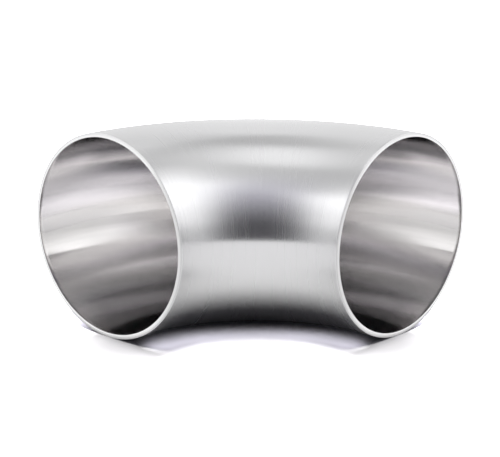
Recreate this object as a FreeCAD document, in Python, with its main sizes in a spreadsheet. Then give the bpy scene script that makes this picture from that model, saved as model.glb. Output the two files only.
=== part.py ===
import FreeCAD, Part
import Sketcher
import os

# Mandrel bend: a quarter turn of thin stainless tube, drawn round a ball mandrel and cut
# back to the bend itself, so that it has no straight ends. It lies on its side, with the
# bend in a level plane. Millimetres, +Z up, z = 0 under the tube. The origin is on the
# floor, in the middle of the square that the bend covers, and the ports face -X and -Y.

DRIVING_SIZES = [
    ("outside_diameter", 76.2),
    ("wall_thickness", 1.65),
    ("centreline_radius", 76.2),
    ("bend_angle", 90.0),
    ("wall_shift", 0.25),
    ("rim_chamfer", 0.2),
]

TUBE_RADIUS = "sizes.outside_diameter / 2"
BORE_RADIUS = "(sizes.outside_diameter / 2 - sizes.wall_thickness)"
BORE_CENTRE = "(sizes.centreline_radius + sizes.wall_shift)"


def add_sheet(doc):
    """One sheet of driving sizes. wall_shift is how far the bore lies outwards of the
    outside, because a drawn bend thins along its back and thickens along its throat."""
    sheet = doc.addObject("Spreadsheet::Sheet", "sizes")
    for row, (alias, value) in enumerate(DRIVING_SIZES, start=1):
        sheet.set(f"A{row}", alias)
        sheet.set(f"B{row}", str(value))
        sheet.setAlias(f"B{row}", alias)
    doc.recompute()
    return sheet


def origin_plane(body, role):
    return next(plane for plane in body.Origin.OriginFeatures if plane.Role == role)


def add_sketch(body, name, plane_role):
    sketch = body.newObject("Sketcher::SketchObject", name)
    sketch.AttachmentSupport = (origin_plane(body, plane_role), "")
    sketch.MapMode = "FlatFace"
    return sketch


def constrain(sketch, name, expression, *constraint):
    """Adds a named size to the sketch and ties it to an expression on the sheet."""
    index = sketch.addConstraint(Sketcher.Constraint(*constraint))
    sketch.renameConstraint(index, name)
    sketch.setExpression(f"Constraints.{name}", expression)


def add_section(body, name, radius, distance_from_axis):
    """A circle in the upright plane through the bend axis, which is the plane's own
    vertical axis. It is the tube's section where the bend starts."""
    sketch = add_sketch(body, name, "XZ_Plane")
    centre = FreeCAD.Vector(80, 40, 0)
    circle = sketch.addGeometry(Part.Circle(centre, FreeCAD.Vector(0, 0, 1), 30), False)
    constrain(sketch, "radius", radius, "Radius", circle, 30)
    constrain(sketch, "from_axis", distance_from_axis, "DistanceX", -1, 1, circle, 3, 80)
    constrain(sketch, "height", TUBE_RADIUS, "DistanceY", -1, 1, circle, 3, 40)
    return sketch


def sweep_round_axis(body, kind, name, sketch):
    """Carries a section round the bend axis by the bend angle, to add or to cut."""
    feature = body.newObject(kind, name)
    feature.Profile = sketch
    feature.ReferenceAxis = (sketch, ["V_Axis"])
    feature.setExpression("Angle", "sizes.bend_angle")
    return feature


def add_rim_chamfer(body, name, rim_centre, rim_radius, metal_side):
    """Turns a 45 degree chamfer round one rim of the first port, about that rim's own
    axis. The cutter is a right triangle in the bend's level middle plane, three chamfers
    along each leg, whose corner lies one chamfer clear of the metal both ways. metal_side
    is -1 where the metal lies inside the rim, and 1 where it lies outside."""
    sketch = add_sketch(body, f"{name}_cutter", "XY_Plane")
    sketch.setExpression("AttachmentOffset.Base.z", TUBE_RADIUS)

    corner = FreeCAD.Vector(110, -1, 0)
    along_face = FreeCAD.Vector(110 + 3 * metal_side, -1, 0)
    along_tube = FreeCAD.Vector(110, 2, 0)
    face_leg = sketch.addGeometry(Part.LineSegment(corner, along_face), False)
    slope = sketch.addGeometry(Part.LineSegment(along_face, along_tube), False)
    tube_leg = sketch.addGeometry(Part.LineSegment(along_tube, corner), False)
    for first, second in ((face_leg, slope), (slope, tube_leg), (tube_leg, face_leg)):
        sketch.addConstraint(Sketcher.Constraint("Coincident", first, 2, second, 1))
    sketch.addConstraint(Sketcher.Constraint("Horizontal", face_leg))
    sketch.addConstraint(Sketcher.Constraint("Vertical", tube_leg))
    leg = "3 * sizes.rim_chamfer"
    face_ends = (face_leg, 1, face_leg, 2) if metal_side > 0 else (face_leg, 2, face_leg, 1)
    constrain(sketch, "leg_along_face", leg, "DistanceX", *face_ends, 3)
    constrain(sketch, "leg_along_tube", leg, "DistanceY", tube_leg, 2, tube_leg, 1, 3)
    edge = f"{rim_centre} + {rim_radius}"
    clear_of_metal = f"{edge} - ({metal_side}) * sizes.rim_chamfer"
    constrain(sketch, "corner_from_axis", clear_of_metal, "DistanceX", -1, 1, face_leg, 1, 110)
    constrain(sketch, "corner_past_face", "sizes.rim_chamfer", "DistanceY", face_leg, 1, -1, 1, 1)

    port_axis = Part.LineSegment(FreeCAD.Vector(80, 0, 0), FreeCAD.Vector(80, 10, 0))
    axis_line = sketch.addGeometry(port_axis, True)
    sketch.addConstraint(Sketcher.Constraint("PointOnObject", axis_line, 1, -1))
    sketch.addConstraint(Sketcher.Constraint("Vertical", axis_line))
    constrain(sketch, "port_axis", rim_centre, "DistanceX", -1, 1, axis_line, 1, 80)
    constrain(sketch, "axis_length", TUBE_RADIUS, "DistanceY", axis_line, 1, axis_line, 2, 10)

    chamfer = body.newObject("PartDesign::Groove", name)
    chamfer.Profile = sketch
    chamfer.ReferenceAxis = (sketch, ["Axis0"])
    chamfer.Angle = 360
    return chamfer


def add_second_port(body, chamfers):
    """The second port's rims mirror the first port's across the upright plane midway
    round the bend."""
    middle = body.newObject("PartDesign::Plane", "middle_of_bend")
    middle.AttachmentSupport = (origin_plane(body, "XZ_Plane"), "")
    middle.MapMode = "FlatFace"
    upright = FreeCAD.Vector(0, 1, 0)
    middle.AttachmentOffset = FreeCAD.Placement(FreeCAD.Vector(), FreeCAD.Rotation(upright, 45))
    middle.setExpression("AttachmentOffset.Rotation.Angle", "sizes.bend_angle / 2")
    mirrored = body.newObject("PartDesign::Mirrored", "second_port_rims")
    mirrored.Originals = chamfers
    mirrored.MirrorPlane = (middle, [""])
    return mirrored


def recompute_and_expect_cut(doc, feature, volume_before):
    """A cut that misses the metal shows no error, so its volume has to be less."""
    doc.recompute()
    volume = feature.Shape.Volume
    if not volume < volume_before:
        raise RuntimeError(f"{feature.Name} cut nothing")
    return volume


def add_bend_tube(doc):
    """The bend: an outside, a bore cut through it, and a light chamfer on each rim, left
    where the saw cuts were deburred."""
    body = doc.addObject("PartDesign::Body", "bend_tube")
    body.Label = "bend_tube"

    outside = add_section(body, "outside_section", TUBE_RADIUS, "sizes.centreline_radius")
    solid_bend = sweep_round_axis(body, "PartDesign::Revolution", "outside", outside)
    doc.recompute()
    volume = solid_bend.Shape.Volume

    bore = add_section(body, "bore_section", BORE_RADIUS, BORE_CENTRE)
    hollow_bend = sweep_round_axis(body, "PartDesign::Groove", "bore", bore)
    volume = recompute_and_expect_cut(doc, hollow_bend, volume)

    outer = add_rim_chamfer(body, "outer_rim", "sizes.centreline_radius", TUBE_RADIUS, -1)
    volume = recompute_and_expect_cut(doc, outer, volume)
    inner = add_rim_chamfer(body, "inner_rim", BORE_CENTRE, BORE_RADIUS, 1)
    volume = recompute_and_expect_cut(doc, inner, volume)
    second_port = add_second_port(body, [outer, inner])
    body.Tip = second_port
    recompute_and_expect_cut(doc, second_port, volume)

    # The floor under the bend runs from its lowest x and y to its highest. Past a quarter
    # turn the back sets the lowest x, and up to a quarter turn the throat does.
    back = "(sizes.centreline_radius + sizes.outside_diameter / 2)"
    throat = "(sizes.centreline_radius - sizes.outside_diameter / 2)"
    turn = "cos(sizes.bend_angle)"
    lowest_x = f"min({back} * {turn}; {throat} * {turn})"
    highest_y = f"{back} * sin(min(sizes.bend_angle; 90))"
    body.setExpression("Placement.Base.x", f"-({back} + {lowest_x}) / 2")
    body.setExpression("Placement.Base.y", f"-{highest_y} / 2")
    doc.recompute()
    return body


def check_objects(doc):
    for item in doc.Objects:
        if "Invalid" in item.State or "Error" in item.State:
            raise RuntimeError(f"{item.Name} failed: {item.State}")


def write_part(body):
    shape = body.Shape
    if shape.isNull() or not shape.isValid() or len(shape.Solids) != 1:
        raise RuntimeError(f"{body.Label} is not one valid solid")
    shape.exportStep(os.path.join("parts", f"{body.Label}.step"))
    box = shape.optimalBoundingBox()
    print(f"{body.Label}: volume {shape.Volume:.1f} mm3, mass centre {shape.Solids[0].CenterOfMass}")
    print(f"  x {box.XMin:.3f} {box.XMax:.3f}  y {box.YMin:.3f} {box.YMax:.3f}"
          f"  z {box.ZMin:.3f} {box.ZMax:.3f}")


os.makedirs("parts", exist_ok=True)
document = FreeCAD.newDocument("mandrel_bend")
add_sheet(document)
bend_tube = add_bend_tube(document)
check_objects(document)
write_part(bend_tube)
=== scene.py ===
import math
import bpy
from mathutils import Matrix, Vector


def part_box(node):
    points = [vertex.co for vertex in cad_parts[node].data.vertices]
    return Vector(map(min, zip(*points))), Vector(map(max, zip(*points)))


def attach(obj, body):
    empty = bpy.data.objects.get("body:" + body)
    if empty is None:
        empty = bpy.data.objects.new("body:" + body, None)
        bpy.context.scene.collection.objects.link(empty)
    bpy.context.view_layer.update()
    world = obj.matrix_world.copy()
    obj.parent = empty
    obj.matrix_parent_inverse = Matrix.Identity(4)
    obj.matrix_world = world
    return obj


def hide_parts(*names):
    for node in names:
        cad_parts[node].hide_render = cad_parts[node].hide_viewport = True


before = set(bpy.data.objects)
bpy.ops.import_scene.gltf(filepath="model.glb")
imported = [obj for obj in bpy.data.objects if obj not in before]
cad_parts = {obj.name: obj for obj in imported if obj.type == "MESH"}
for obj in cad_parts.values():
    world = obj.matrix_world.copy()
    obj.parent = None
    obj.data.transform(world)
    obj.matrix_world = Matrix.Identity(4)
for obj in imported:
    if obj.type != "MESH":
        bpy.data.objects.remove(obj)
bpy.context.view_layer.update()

# The bend tube: one length of thin stainless tube, bent a quarter turn over a mandrel and
# sawn square at both ends of the bend. The flat ring of metal at the first port is spun
# round the bend axis to the second, and all four rims are then deburred.
low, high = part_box("bend_tube")
TUBE_RADIUS = (high.z - low.z) / 2
BEND_RADIUS = high.x - low.x - TUBE_RADIUS
BEND_AXIS = Vector((low.x, low.y, low.z + TUBE_RADIUS))
WALL = 0.00165
WALL_SHIFT = Vector((0.00025, 0, 0))
GIRTH_STEPS = 180
BEND_STEPS = 96
RIM_BEVEL = 0.0002
RIM_BEVEL_STEPS = 2
RIM_ANGLE = math.radians(60)
SMOOTH_UNDER = math.radians(35)

first_port = BEND_AXIS + Vector((BEND_RADIUS, 0, 0))
bpy.ops.object.select_all(action="DESELECT")
bpy.ops.mesh.primitive_circle_add(
    vertices=GIRTH_STEPS,
    radius=TUBE_RADIUS,
    location=first_port,
    rotation=(math.pi / 2, 0, 0),
)
tube = bpy.context.object
tube.name = "stainless_bend"
bpy.ops.object.transform_apply(location=True, rotation=True, scale=True)
bpy.ops.object.mode_set(mode="EDIT")
bpy.ops.mesh.select_all(action="SELECT")
bpy.ops.mesh.extrude_region_move(TRANSFORM_OT_translate={"value": WALL_SHIFT})
bore_share = 1 - WALL / TUBE_RADIUS
bpy.ops.transform.resize(value=[bore_share] * 3, center_override=first_port + WALL_SHIFT)
bpy.ops.mesh.select_all(action="SELECT")
bpy.ops.mesh.spin(steps=BEND_STEPS, angle=-math.pi / 2, center=BEND_AXIS, axis=(0, 0, 1))
bpy.ops.mesh.select_all(action="SELECT")
bpy.ops.mesh.normals_make_consistent(inside=False)
bpy.ops.mesh.select_all(action="DESELECT")
bpy.ops.mesh.select_mode(type="EDGE")
bpy.ops.mesh.edges_select_sharp(sharpness=RIM_ANGLE)
bpy.ops.mesh.bevel(offset=RIM_BEVEL, segments=RIM_BEVEL_STEPS)
bpy.ops.object.mode_set(mode="OBJECT")
bpy.ops.object.shade_smooth_by_angle(angle=SMOOTH_UNDER)


class Wire:
    """An output in a node tree. Arithmetic on wires adds Math nodes, and node() adds the rest."""

    def __init__(self, tree, output=None):
        self.tree = tree
        self.output = output

    def node(self, kind, settings=None, inputs=None, output=0):
        """Adds a node, with its settings first and then its sockets, and gives one output."""
        made = self.tree.nodes.new(kind)
        for name, setting in (settings or {}).items():
            setattr(made, name, setting)
        for name, value in (inputs or {}).items():
            if isinstance(value, Wire):
                self.tree.links.new(value.output, made.inputs[name])
            else:
                made.inputs[name].default_value = value
        return Wire(self.tree, made.outputs[output] if made.outputs else None)

    def math(self, operation, *values):
        return self.node("ShaderNodeMath", {"operation": operation}, dict(enumerate(values)))

    def __add__(self, other):
        return self.math("ADD", self, other)

    def __radd__(self, other):
        return self.math("ADD", other, self)

    def __sub__(self, other):
        return self.math("SUBTRACT", self, other)

    def __rsub__(self, other):
        return self.math("SUBTRACT", other, self)

    def __mul__(self, other):
        return self.math("MULTIPLY", self, other)

    def __rmul__(self, other):
        return self.math("MULTIPLY", other, self)

    def step(self, start, end):
        """0 up to start and 1 from end on, with a smooth rise between."""
        inputs = {"Value": self, "From Min": start, "From Max": end}
        return self.node("ShaderNodeMapRange", {"interpolation_type": "SMOOTHSTEP"}, inputs)

    def band(self, start, full, fading, end):
        """1 from full to fading, and 0 up to start and from end on."""
        return self.step(start, full) * (1 - self.step(fading, end))

    def blend(self, low_value, high_value):
        """The low value where this wire is 0, and the high one where it is 1."""
        return low_value + self * (high_value - low_value)

    def vector(self, x, y, z):
        return self.node("ShaderNodeCombineXYZ", None, {"X": x, "Y": y, "Z": z})

    def axes(self):
        """The three parts of a vector."""
        return [self.node("ShaderNodeSeparateXYZ", None, {"Vector": self}, axis) for axis in "XYZ"]

    def noise(self, x, y, z, detail):
        """Soft noise at a place, with lumps about one unit wide."""
        inputs = {"Vector": self.vector(x, y, z), "Scale": 1, "Detail": detail}
        return self.node("ShaderNodeTexNoise", None, inputs)


def new_finish(name):
    """A new finish, in the tube's next material slot."""
    material = bpy.data.materials.new(name)
    material.use_nodes = True
    material.node_tree.nodes.clear()
    tube.data.materials.append(material)
    return Wire(material.node_tree)


def along_and_round(tree):
    """Where a point lies along the bend, in metres, and round the girth, as two shares of the
    tube's radius: out from the bend axis and up."""
    point = tree.node("ShaderNodeTexCoord", output="Object")
    arm = tree.node("ShaderNodeVectorMath", {"operation": "SUBTRACT"}, {0: point, 1: BEND_AXIS})
    x, y, z = arm.axes()
    from_axis = tree.math("SQRT", x * x + y * y)
    along = tree.math("ARCTAN2", y, x) * BEND_RADIUS
    return along, (from_axis - BEND_RADIUS) * (1 / TUBE_RADIUS), z * (1 / TUBE_RADIUS)


def bare_steel(tree, colour, roughness, stretched):
    """Uncoated steel, with its gloss stretched along the bend by a share."""
    metal = tree.node("ShaderNodeBsdfPrincipled", None, {
        "Base Color": colour,
        "Metallic": 1,
        "Roughness": roughness,
        "Anisotropic": stretched,
    })
    tree.node("ShaderNodeOutputMaterial", None, {"Surface": metal})


# The outside of the tube: stainless steel rubbed to a satin with a fine belt that ran round
# the girth. Its thin lines differ in gloss, and broad soft patches in brightness.
OUTSIDE_TONE = 0.682
LINE_TONE = 0.014
PATCH_TONE = 0.022
OUTSIDE_BLUE = 1.01
OUTSIDE_ROUGHNESS = 0.2175
LINE_ROUGHNESS = 0.085
LINES_PER_METRE = 1300
LINE_WANDER = 0.7
PATCHES_PER_METRE = 60
PATCHES_ROUND = 2

steel = new_finish("satin_outside")
along, out, up = along_and_round(steel)
lines = steel.noise(along * LINES_PER_METRE, out * LINE_WANDER, up * LINE_WANDER, detail=2)
patches = steel.noise(along * PATCHES_PER_METRE, out * PATCHES_ROUND, up * PATCHES_ROUND, detail=3)
tone = OUTSIDE_TONE + LINE_TONE * lines + PATCH_TONE * patches
colour = steel.vector(tone, tone, tone * OUTSIDE_BLUE)
bare_steel(steel, colour, OUTSIDE_ROUGHNESS + LINE_ROUGHNESS * lines, stretched=1)

# The bore: the same steel, smoother, with soft streaks along the bend where the mandrel slid.
# Painted shade darkens its roof and bottom, with a bluer shade on the bottom, and a low band near the
# mouths, and painted reflections lighten parts of its back and throat, alike at both mouths but for two
# zones in the half by the first mouth.
BORE_TONE = 0.545
STREAK_TONE = 0.29
BRIGHTEST = 0.97
BORE_GREEN = 0.98
BORE_BLUE = 0.975
BOTTOM_PAINTED_BLUE_SHADE = 0.05
BORE_ROUGHNESS = 0.13
STREAKS_ALONG = 0.72
STREAKS_ROUND = 9
ROOF_PAINTED_SHADE = 0.56
ROOF_BY_FIRST_PAINTED_SHADE = 0.14
ROOF_EDGE_PAINTED_SHADE = 0.3
BOTTOM_PAINTED_SHADE = 0.45
BOTTOM_LESS_AT_MOUTHS = 0.6
BACK_PAINTED_REFLECTION = 0.21
THROAT_PAINTED_REFLECTION = 0.105
LOW_BACK_PAINTED_REFLECTION = 0.42
BACK_BY_FIRST_PAINTED_REFLECTION = 0.315
BAND_PAINTED_SHADE = 0.14

steel = new_finish("drawn_bore")
along, out, up = along_and_round(steel)
inwards = -1 * out
down = -1 * up
half_bend = BEND_RADIUS * math.pi / 4
to_mouth = steel.math("ABSOLUTE", along - half_bend) * (1 / half_bend)
streaks = steel.noise((1 - to_mouth) * STREAKS_ALONG, out * STREAKS_ROUND, up * STREAKS_ROUND, detail=4)

# Each zone has its edges as shares of the tube's radius, or of the way from the middle of
# the bend to a mouth, or in metres from the first mouth.
roof = up.step(0.42, 0.78)
roof_by_first = (1 - along.step(0.025, 0.05)) * to_mouth.step(0.55, 0.75) * up.step(0.55, 0.75)
roof_edge = up.band(0.48, 0.56, 0.58, 0.74) * (1 - to_mouth.step(0.70, 0.84))
bottom = down.step(0.60, 0.92) * (1 - BOTTOM_LESS_AT_MOUTHS * to_mouth.step(0.8, 1))
# Painted shade: the roof, its edge and the bottom are darkened in the base colour.
painted_shade = ROOF_PAINTED_SHADE * roof + ROOF_BY_FIRST_PAINTED_SHADE * roof_by_first + ROOF_EDGE_PAINTED_SHADE * roof_edge
painted_shade = out.step(-0.2, 0.3) * (painted_shade + BOTTOM_PAINTED_SHADE * bottom)

low_by_mouths = (1 - up.step(-0.15, 0.1)) * to_mouth.step(0.45, 0.75)
back = out.step(0.5, 0.8) * (1 - up.step(0.10, 0.36)) * (1 - low_by_mouths)
throat = inwards.step(0.3, 0.6)
low_back = out.step(0.2, 0.5) * down.band(0.25, 0.5, 0.6, 0.85)
back_by_first = (1 - along.step(0.035, 0.065)) * out.step(0.35, 0.65) * up.band(0.02, 0.12, 0.40, 0.60)
# Painted reflections: parts of the back and throat are lightened in the base colour; the low band near
# the mouths is painted shade.
painted_reflection = BACK_PAINTED_REFLECTION * back + THROAT_PAINTED_REFLECTION * throat
painted_reflection += LOW_BACK_PAINTED_REFLECTION * low_back + BACK_BY_FIRST_PAINTED_REFLECTION * back_by_first
band_painted_shade = down.band(0.06, 0.16, 0.30, 0.40) * to_mouth.step(0.5, 0.75)

tone = (BORE_TONE + STREAK_TONE * streaks) * (1 - painted_shade) * (1 + painted_reflection) * (1 - BAND_PAINTED_SHADE * band_painted_shade)
tone = steel.math("MINIMUM", tone, BRIGHTEST)
# The bottom's painted shade is also a little bluer.
colour = steel.vector(tone, tone * BORE_GREEN, tone * (BORE_BLUE + BOTTOM_PAINTED_BLUE_SHADE * bottom))
bare_steel(steel, colour, BORE_ROUGHNESS, stretched=1)

# The sawn ends: faced square and deburred, so the same steel is pale and matt there. Painted shade
# makes them a little darker on their outer edges and on the throat's side.
RIM_TONE = 0.95
EDGE_PAINTED_SHADE = 0.22
THROAT_SIDE_PAINTED_SHADE = 0.2
RIM_ROUGHNESS = 0.45

steel = new_finish("faced_rim")
out, up = along_and_round(steel)[1:]
outer_edge = steel.math("SQRT", out * out + up * up).step(0.970, 0.996)
by_throat = (-1 * out).step(0.5, 0.9)
# Painted shade: the tone is darkened on the outer edge and on the throat's side.
tone = (RIM_TONE - EDGE_PAINTED_SHADE * outer_edge) * (1 - THROAT_SIDE_PAINTED_SHADE * by_throat)
bare_steel(steel, steel.vector(tone, tone, tone), RIM_ROUGHNESS, stretched=0)

# Each face takes the finish that its normal asks for: away from the tube's centreline is
# the outside, towards it is the bore, and what faces neither way is a sawn end or its rim.
OUTSIDE, BORE, RIM = range(3)
SQUARE_TO_TUBE = 0.6
for face in tube.data.polygons:
    arm = face.center - BEND_AXIS
    centreline = Vector((arm.x, arm.y, 0)).normalized() * BEND_RADIUS
    outwards = face.normal.dot((arm - centreline).normalized())
    if outwards > SQUARE_TO_TUBE:
        face.material_index = OUTSIDE
    elif outwards < -SQUARE_TO_TUBE:
        face.material_index = BORE
    else:
        face.material_index = RIM

# The brush lines run round the girth, so gloss is stretched along the bend. The mesh's own
# texture space, centred on the bend axis, gives each point that direction.
tube.data.use_auto_texspace = False
tube.data.texspace_location = BEND_AXIS
tube.data.texspace_size = (BEND_RADIUS, BEND_RADIUS, BEND_RADIUS)

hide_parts("bend_tube")
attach(tube, "root")

# The camera: a long lens on the throat's side of the bend, a little above it, and turned and
# tilted as the rims in the photo show.
CAMERA_AZIMUTH = math.radians(-47.866)
CAMERA_ELEVATION = math.radians(15.432)
CAMERA_ROLL = math.radians(0.556)
CAMERA_DISTANCE = 0.578
AIM_RIGHT = -0.00446
AIM_UP = 0.01724
LENS = 124.87
SENSOR = 36

towards_camera = Vector((math.sin(CAMERA_AZIMUTH), -math.cos(CAMERA_AZIMUTH), 0))
level_right = Vector((math.cos(CAMERA_AZIMUTH), math.sin(CAMERA_AZIMUTH), 0))
back = towards_camera * math.cos(CAMERA_ELEVATION) + Vector((0, 0, math.sin(CAMERA_ELEVATION)))
turn = Matrix.Rotation(CAMERA_ROLL, 3, back)
right = turn @ level_right
up = turn @ back.cross(level_right)
place = BEND_AXIS + back * CAMERA_DISTANCE + right * AIM_RIGHT + up * AIM_UP
bpy.ops.object.camera_add()
camera = bpy.context.object
camera.data.lens = LENS
camera.data.sensor_width = SENSOR
camera.matrix_world = Matrix.Translation(place) @ Matrix((right, up, back)).transposed().to_4x4()
bpy.context.scene.camera = camera

# The floor: a sheet of white paper that the bend lies on, with its front edge between the bend
# and the camera. As in a photo with its ground whitened, it is brighter to the camera than to
# the steel: white all over, and lifted less at the throat and at the mouths' feet.
SHEET_SIZE = 4
SHEET_FRONT = 0.272
sheet_middle = SHEET_FRONT - SHEET_SIZE / 2
foot_of_axis = Vector((BEND_AXIS.x, BEND_AXIS.y, low.z))
bpy.ops.object.select_all(action="DESELECT")
bpy.ops.mesh.primitive_plane_add(
    size=SHEET_SIZE,
    location=foot_of_axis + towards_camera * sheet_middle,
    rotation=(0, 0, CAMERA_AZIMUTH),
)
floor = bpy.context.object
floor.name = "floor"
material = bpy.data.materials.new("white_sheet")
material.use_nodes = True
material.node_tree.nodes.clear()
floor.data.materials.append(material)
sheet = Wire(material.node_tree)

# A point's place from the bend axis, along the first mouth and along the second. Both are
# above 0 past the mouths' planes, under the bend.
point = sheet.node("ShaderNodeTexCoord", output="Object")
axis_on_sheet = Vector((0, sheet_middle, 0))
arm = sheet.node("ShaderNodeVectorMath", {"operation": "SUBTRACT"}, {0: point, 1: axis_on_sheet})
aside, away = arm.axes()[:2]
x = aside * math.cos(CAMERA_AZIMUTH) - away * math.sin(CAMERA_AZIMUTH)
y = aside * math.sin(CAMERA_AZIMUTH) + away * math.cos(CAMERA_AZIMUTH)
from_axis = sheet.math("SQRT", aside * aside + away * away)
past_mouths = sheet.math("MINIMUM", x, y)

# Painted shadow under the throat: the sheet's brightness to the camera is set by place, lifting the
# shadow more the deeper under the bend it lies, but hardly near the line that the bend rests on.
LIT_BY_THROAT = 1.8
LIT_DEEPER = 18.5
THROAT_SHADE_START = 0.036
THROAT_SHADE_WIDTH = 0.018
THROAT_SHADE_CURVE = 2.8
LESS_BY_REST_LINE = 0.9
THROAT_SHARE_AT_MOUTHS = 0.62
EDGE_BY_THROAT = 0.0008
EDGE_UNDER_BEND = 0.0044
deeper = (from_axis - THROAT_SHADE_START) * (1 / THROAT_SHADE_WIDTH)
deeper = sheet.math("MINIMUM", sheet.math("MAXIMUM", deeper, 0), 1)
deeper = sheet.math("POWER", deeper, THROAT_SHADE_CURVE)
by_rest_line = from_axis.step(0.058, 0.069)
painted_throat_shadow = LIT_BY_THROAT + LIT_DEEPER * deeper * (1 - LESS_BY_REST_LINE * by_rest_line)
mouth_edge = from_axis.step(0.056, 0.066).blend(EDGE_BY_THROAT, EDGE_UNDER_BEND)
between_mouths = (past_mouths - mouth_edge).step(-0.002, 0.008)
between_mouths = between_mouths * past_mouths.step(0.006, 0.03).blend(THROAT_SHARE_AT_MOUTHS, 1)

# Painted shade at the foot of each mouth: the sheet is set darker to the camera there, so the shadow
# stays soft and reaches further, and all round it the sheet clips to white.
LIT = 15
LIT_AT_FEET = 0.72
LIT_BEFORE_MOUTHS = 0.42
LIT_ROUND_FEET = 0.3
FOOT_ALONG = 0.064
FOOT_BEFORE = 0.003
before_mouths = (-1 * past_mouths).step(-0.002, 0.006)
lift = LIT
for along_mouth, past_mouth in ((x, y), (y, x)):
    off_along = along_mouth - FOOT_ALONG
    off_past = past_mouth + FOOT_BEFORE
    from_foot = sheet.math("SQRT", off_along * off_along + off_past * off_past)
    painted_foot_shade = LIT_AT_FEET + LIT_BEFORE_MOUTHS * before_mouths
    painted_foot_shade = painted_foot_shade + LIT_ROUND_FEET * from_foot.step(0.004, 0.018) + LIT * from_foot.step(0.015, 0.040)
    lift = sheet.math("MINIMUM", lift, painted_foot_shade)
# The sheet's brightness to the camera is set by place here, which paints the shape of its shadow.
lift = between_mouths.blend(lift, painted_throat_shadow)

# The steel mirrors the sheet as plain white. What the steel throws on to the sheet is cut to
# a tenth, so that no bright curves lie there.
SHADOW_TINT = Vector((1, 0.99, 1.01))
MIRRORED = 1
BOUNCED_SHARE = 0.1
bounced = sheet.node("ShaderNodeLightPath", output="Diffuse Depth").step(0, 1)
mirrored = bounced.blend(MIRRORED, BOUNCED_SHARE * MIRRORED)
grey = sheet.vector(mirrored, mirrored, mirrored)
tinted = sheet.vector(lift * SHADOW_TINT.x, lift * SHADOW_TINT.y, lift * SHADOW_TINT.z)
seen = sheet.node("ShaderNodeLightPath", output="Is Camera Ray")
colour = sheet.node("ShaderNodeMix", {"data_type": "VECTOR"}, {"Factor": seen, 4: grey, 5: tinted}, 1)
diffuse = sheet.node("ShaderNodeBsdfDiffuse", None, {"Color": colour})
sheet.node("ShaderNodeOutputMaterial", None, {"Surface": diffuse})

# The lamp: a large soft box nearly straight overhead. It lights the sheet and throws the soft
# shadow, and the steel mirrors the tent instead of it.
BOX_HEIGHT = 2.8
BOX_FORWARD = 0.22
BOX_SIZE = 1.75
BOX_POWER = 76
BOX_COLOUR = (1, 1, 0.975)
box_place = BEND_AXIS + towards_camera * BOX_FORWARD + Vector((0, 0, BOX_HEIGHT))
bpy.ops.object.light_add(type="AREA", location=box_place)
soft_box = bpy.context.object
soft_box.data.size = BOX_SIZE
soft_box.data.energy = BOX_POWER
soft_box.data.color = BOX_COLOUR
soft_box.visible_glossy = False

# The tent: white cloth hung round and over the bend, open towards the camera, where the room
# is dark. It has bright walls, a greyer ring above them, and in the ring a bright round roof
# whose middle lies a little to the back left.
OPEN_TOWARDS = math.radians(4)
RING = 0.66
RING_SIDES = 0.055
RING_RIGHT = 0.09
RING_SEAM = 0.09
OPEN_LOW = 0.06
OPEN_HIGHER = 0.62
SIDES_LOW = 1.1
SIDES_MIDDLE = 0.50
SIDES_HIGH = 0.28
REAR = 1.02
TOP_RISE_RIGHT = 10
TOP_RISE_REAR = 4
TOP_DIP = 14
ROOF = 1.42
ROOF_TILT = math.radians(6)
ROOF_TILTED_TOWARDS = math.radians(-120)

world = bpy.data.worlds.new("studio_tent")
bpy.context.scene.world = world
world.use_nodes = True
world.node_tree.nodes.clear()
tent = Wire(world.node_tree)
direction = tent.node("ShaderNodeTexCoord", output="Generated")


def part_along(vector):
    """How much of the direction lies along a vector."""
    dot = {"operation": "DOT_PRODUCT"}
    return tent.node("ShaderNodeVectorMath", dot, {0: direction, 1: vector}, "Value")


# Angles in degrees: the azimuth from the middle of the open side, and the elevation.
open_middle = towards_camera * math.cos(OPEN_TOWARDS) + level_right * math.sin(OPEN_TOWARDS)
ahead = part_along(open_middle)
aside = part_along(open_middle.cross(Vector((0, 0, -1))))
height = part_along(Vector((0, 0, 1)))
elevation = tent.math("ARCSINE", height) * math.degrees(1)
azimuth = tent.math("ABSOLUTE", tent.math("ARCTAN2", aside, ahead)) * math.degrees(1)

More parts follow.
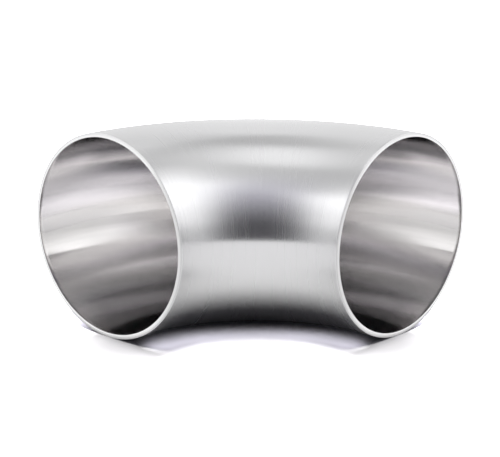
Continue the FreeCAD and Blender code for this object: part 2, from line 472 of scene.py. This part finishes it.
rear_right = aside.step(0, 0.3)
ring = RING + RING_SIDES * azimuth.band(5, 40, 118, 145) + RING_RIGHT * aside
ring -= RING_SEAM * rear_right * azimuth.band(128, 148, 158, 172)
front = OPEN_LOW + OPEN_HIGHER * elevation.step(8, 62)
sides = SIDES_LOW + SIDES_MIDDLE * elevation.step(2, 16) + SIDES_HIGH * elevation.step(18, 34)
wall = azimuth.step(36, 58).blend(front, azimuth.step(99, 130).blend(sides, REAR))
rise = TOP_RISE_RIGHT * aside + TOP_RISE_REAR * azimuth.step(110, 160)
rise -= TOP_DIP * rear_right * azimuth.band(112, 140, 142, 166)
wall_top = 1 - (elevation - rise).step(42, 54)
roof_lean = Matrix.Rotation(ROOF_TILTED_TOWARDS, 3, "Z") @ towards_camera * math.sin(ROOF_TILT)
roof_middle = (roof_lean + Vector((0, 0, 1))).normalized()
from_roof_middle = tent.math("ARCCOSINE", part_along(roof_middle)) * math.degrees(1)
roof = 1 - from_roof_middle.step(9, 21)
panels = ring + wall_top * (wall - ring) + roof * (ROOF - ring)

# The steel mirrors the tent, the camera sees plain white in its place, and the sheet gets a
# dim share of it. That share is a little blue, and so is the open side in the steel.
AMBIENT = 0.22
BLUE_TINT = Vector((-0.02, -0.04, 0.10))
bounced = tent.node("ShaderNodeLightPath", output="Diffuse Depth").step(0, 1)
glossy_ray = tent.node("ShaderNodeLightPath", output="Is Glossy Ray")
camera_ray = tent.node("ShaderNodeLightPath", output="Is Camera Ray")
mirrored = bounced.blend(panels, BOUNCED_SHARE * panels)
ambient = panels * AMBIENT
strength = ambient + camera_ray * (1 - ambient) + glossy_ray * (mirrored - ambient)
open_side = (1 - azimuth.step(25, 60)) * (1 - elevation.step(40, 75))
cool = (1 - glossy_ray * (1 - open_side)) * (1 - camera_ray)
tint = tent.vector(1 + BLUE_TINT.x * cool, 1 + BLUE_TINT.y * cool, 1 + BLUE_TINT.z * cool)
glow = tent.node("ShaderNodeBackground", None, {"Color": tint, "Strength": strength})
tent.node("ShaderNodeOutputWorld", None, {"Surface": glow})

bpy.context.scene.view_settings.view_transform = "Standard"
